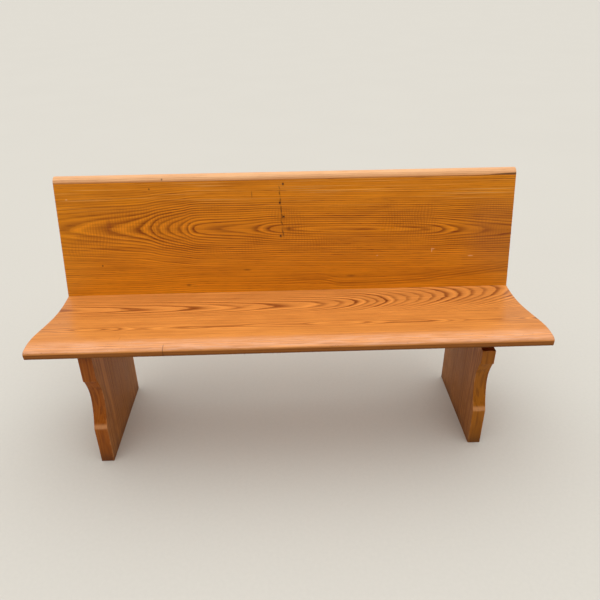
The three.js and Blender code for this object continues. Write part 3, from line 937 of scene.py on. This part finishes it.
def slot_cutter(tip, way, length, quarter_turn):
    """A thin box across a screw's head, for its slot."""
    size = Matrix.Diagonal((3 * SCREW["head"], SLOT["width"], 2 * SLOT["depth"], 1))
    turned = Matrix.Rotation(quarter_turn, 4, "Z")
    cutter = bmesh.new()
    lift = Matrix.Translation((0, 0, length))
    bmesh.ops.create_cube(cutter, size=1.0, matrix=placing(tip, way) @ lift @ turned @ size)
    return cutter


def build_fastener(node):
    """A screw with a thread and a slot, or a nail, in the place of its CAD node."""
    way = fastener_way(node)
    tip, length = tip_and_length(node, way)
    size = NAIL if node in NAILS else SCREW
    shank, head, point = size["shank"], size["head"], size["point"]
    neck = length - size["head_depth"]
    edge = 0.25 * MM
    profile = [(0, 0), (0.3 * MM, 0.2 * MM)]
    if size is NAIL:
        profile += [(shank, point), (shank, neck)]
    else:
        pitch, root = THREAD["pitch"], shank * THREAD["root"]
        threads = int((length * THREAD["reach"] - point) / pitch)
        for k in range(threads):
            foot = point + k * pitch
            profile += [(root, foot), (shank, foot + pitch / 2)]
        profile += [(root, point + threads * pitch), (shank, point + (threads + 1) * pitch), (shank, neck)]
    under_head = neck if size is NAIL else length - 0.6 * MM
    profile += [(head - edge, under_head), (head, under_head + edge / 2), (head, length - edge),
                (head - edge, length), (0, length)]
    shape = lathe(profile, tip, way, 28)
    mesh = bpy.data.meshes.new(node + "_metal")
    shape.to_mesh(mesh)
    shape.free()
    if size is SCREW:
        mesh = cut_away(mesh, [slot_cutter(tip, way, length, 2.4 * SCREWS.index(node))])
    return place_piece(node + "_metal", mesh, node, NAIL_STEEL if size is NAIL else SCREW_STEEL)


def build_seat():
    materials = [seat_front_material(), seat_middle_material(), seat_rear_material()]
    group = SEAT_BOARDS + SEAT_SPLINES
    for node, material in zip(SEAT_BOARDS, materials):
        neighbours = [n for n in group if n != node] + ["back_panel"]
        board(node, material, neighbours, ends=(3.0, 3.0))


def build_back():
    group = BACK_BOARDS + ["back_cap_spline"]
    for node, material in (("back_panel", back_panel_material()), ("back_cap_rail", cap_material())):
        neighbours = [n for n in group if n != node] + ["seat_rear_board"]
        board(node, material, neighbours, arris=1.2, corner=20)


def build_supports():
    hearts = (62.0, -45.0, 150.0)
    for side, sign in SIDES.items():
        boards = support_boards(side)
        for k, (node, heart) in enumerate(zip(boards, hearts)):
            neighbours = [n for n in boards if n != node] + SEAT_BOARDS + ["back_panel"]
            material = support_material(node, 31.0 + 7.3 * k + sign, heart)
            board(node, material, neighbours, arris=2.0, corner=20)


def build_plain_pieces():
    for side, sign in SIDES.items():
        node = f"{side}_seat_cleat"
        ends = (0.0, 1.2) if sign < 0 else (1.2, 0.0)
        material = plain_material(node, Y_AXIS, Z_AXIS, X_AXIS, 50.0 + sign)
        board(node, material, SEAT_BOARDS, arris=1.5, ends=ends)
    for k, node in enumerate(node_list("corner_block")):
        material = plain_material(node, X_AXIS, Y_AXIS, Z_AXIS, 60.0 + k)
        neighbours = ["seat_rear_board", "back_panel"]
        board(node, material, neighbours, arris=1.2, ends=(0.9, 0.9))
    material = plain_material("back_batten", UPSLOPE, X_AXIS, -BACKWARDS, 71.0)
    board("back_batten", material, ["back_panel"], arris=1.6, ends=(1.3, 1.3))
    # Dowels and tongues are out of sight, so their CAD pieces stay and only get wood.
    ways = {node: (Y_AXIS, Z_AXIS, X_AXIS) for node in DOWELS}
    ways |= {node: (X_AXIS, Y_AXIS, Z_AXIS) for node in [*SEAT_SPLINES, "back_cap_spline"]}
    for node, (along, across, inward) in ways.items():
        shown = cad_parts[node]
        shown.data.materials.clear()
        shown.data.materials.append(plain_material(node, along, across, inward, 80.0))


build_seat()
build_back()
build_supports()
build_plain_pieces()
for fastener in SCREWS + NAILS:
    build_fastener(fastener)
for hole in HOLES:
    hole.free()


# ---------------------------------------------------------------- floor, light and camera


def build_floor():
    reach = 60.0
    mesh = bpy.data.meshes.new("floor")
    corners = [(-reach, -reach, 0), (reach, -reach, 0), (reach, reach, 0), (-reach, reach, 0)]
    mesh.from_pydata(corners, [], [(0, 1, 2, 3)])
    floor = bpy.data.objects.new("floor", mesh)
    floor.location.z = -0.2 * MM
    bpy.context.scene.collection.objects.link(floor)
    material = bpy.data.materials.new("pale_floor")
    material.use_nodes = True
    g = Graph(material.node_tree)
    place = g.add("ShaderNodeTexCoord").outputs["Object"]
    cloud = g.noise(place, 0.8, 3.0)
    grain = g.noise(place, 0.011)
    color = g.mix(g.times(cloud, 0.25), srgb(205, 202, 194), srgb(193, 190, 182))
    color = g.mix(g.times(grain, 0.12), color, srgb(150, 146, 140))
    # Glossy rays see the floor in front of the pew painted dark, so the varnish mirrors a painted dark
    # surrounding there.
    mirrored = g.add("ShaderNodeLightPath").outputs["Is Glossy Ray"]
    ahead = g.step(g.split(place)[1], -3.0, -1.5, 1.0, 0.0)
    color = g.mix(g.times(mirrored, ahead), color, srgb(60, 58, 54))
    shader = g.add("ShaderNodeBsdfPrincipled", {"Base Color": color, "Roughness": 0.9,
                                                "Specular IOR Level": 0.1})
    # Seen from below, the floor lets the pew's underside show, and light reaches the feet through it.
    below = g.add("ShaderNodeNewGeometry").outputs["Backfacing"]
    close = g.math("LESS_THAN", g.add("ShaderNodeLightPath").outputs["Ray Length"], 3 * MM)
    clear = g.add("ShaderNodeBsdfTransparent")
    open_here = g.math("MAXIMUM", below, close)
    both = g.add("ShaderNodeMixShader", {0: open_here, 1: shader.outputs[0], 2: clear.outputs[0]})
    output = g.add("ShaderNodeOutputMaterial")
    g.feed(output.inputs["Surface"], both.outputs[0])
    mesh.materials.append(material)


def build_light():
    """An overcast dome, brightest overhead and darkest in front; the camera sees a plain backdrop."""
    overhead = 2.0
    world = bpy.data.worlds.new("dome")
    bpy.context.scene.world = world
    world.use_nodes = True
    g = Graph(world.node_tree)
    _, backwards, height = g.split(g.add("ShaderNodeTexCoord").outputs["Generated"])
    horizon = g.step(backwards, -1.0, 1.0, 0.08, 0.3)
    rise = g.step(height, 0.25, 0.95)
    sky = g.plus(horizon, rise, g.math("SUBTRACT", overhead, horizon))
    sky = g.plus(sky, g.step(height, -0.05, 0.0, 0.6, 0.0))
    seen = g.add("ShaderNodeLightPath").outputs["Is Camera Ray"]
    light = g.add("ShaderNodeBackground", {"Color": (1.0, 0.99, 0.975, 1.0), "Strength": sky})
    backdrop = g.add("ShaderNodeBackground", {"Color": srgb(224, 220, 209), "Strength": 1.0})
    both = g.add("ShaderNodeMixShader", {0: seen, 1: light.outputs[0], 2: backdrop.outputs[0]})
    output = g.add("ShaderNodeOutputWorld")
    g.feed(output.inputs["Surface"], both.outputs[0])


def build_camera():
    """Stands before the middle of the pew and looks down on it."""
    pitch, yaw, roll = (math.radians(angle) for angle in (29.47, 1.41, -0.78))
    forward = Vector((math.sin(yaw) * math.cos(pitch), math.cos(yaw) * math.cos(pitch), -math.sin(pitch)))
    level = forward.cross(Z_AXIS).normalized()
    upright = level.cross(forward)
    right = level * math.cos(roll) + upright * math.sin(roll)
    up = upright * math.cos(roll) - level * math.sin(roll)
    data = bpy.data.cameras.new("camera")
    data.sensor_width = 36.0
    data.lens = 35.22
    camera = bpy.data.objects.new("camera", data)
    turn = Matrix((right, up, -forward)).transposed()
    camera.matrix_world = Matrix.Translation((-0.007, -1.659, 1.394)) @ turn.to_4x4()
    bpy.context.scene.collection.objects.link(camera)
    bpy.context.scene.camera = camera


build_floor()
build_light()
build_camera()
bpy.context.scene.view_settings.view_transform = "Standard"
